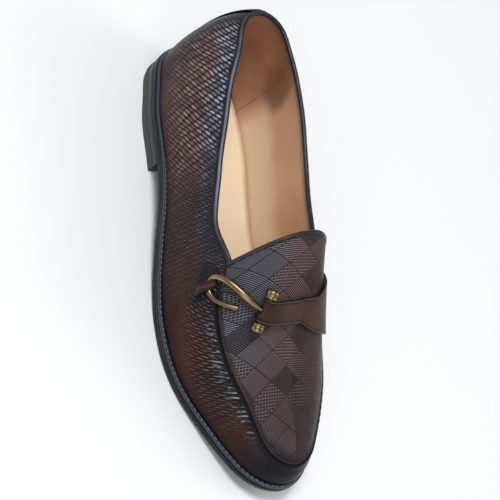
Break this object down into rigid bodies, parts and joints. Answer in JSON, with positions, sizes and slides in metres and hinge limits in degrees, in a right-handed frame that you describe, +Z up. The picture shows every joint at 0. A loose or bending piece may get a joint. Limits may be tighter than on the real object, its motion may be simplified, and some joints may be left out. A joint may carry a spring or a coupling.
{
  "type": "loafer",
  "caption": "A right dress loafer of embossed leather with a sewn apron, a raised tongue, a strap folded round a bar and a wire hook at the outer side.",
  "frame": {"origin": "middle of the footprint on the floor", "axes": "+Z up; the toe points to -Y, the heel to +Y; +X is the inner (big toe) side and -X the outer side of this right shoe"},
  "size_m": [0.1064, 0.2922, 0.0983],
  "materials": {
    "sole": "burnished edge",
    "welt": "waxed",
    "heel": "waxed stack",
    "top_piece": "matte",
    "insole": "smooth natural",
    "upper": "embossed, polished",
    "binding": "polished",
    "back_strip": "polished",
    "strap": "smooth, polished",
    "brass": "antique",
    "tab": "smooth"
  },
  "bodies": {
    "root": {"outsole": "sole", "welt": "welt", "heel_stack": "heel", "top_piece": "top_piece", "insole": "insole", "upper": "upper", "collar_binding": "binding", "back_strip": "back_strip", "strap": "strap", "buckle_bar": "brass", "bar_cap_upper": "brass", "bar_cap_lower": "brass", "hook": "brass", "loop_tab": "tab"}
  },
  "joints": []
}
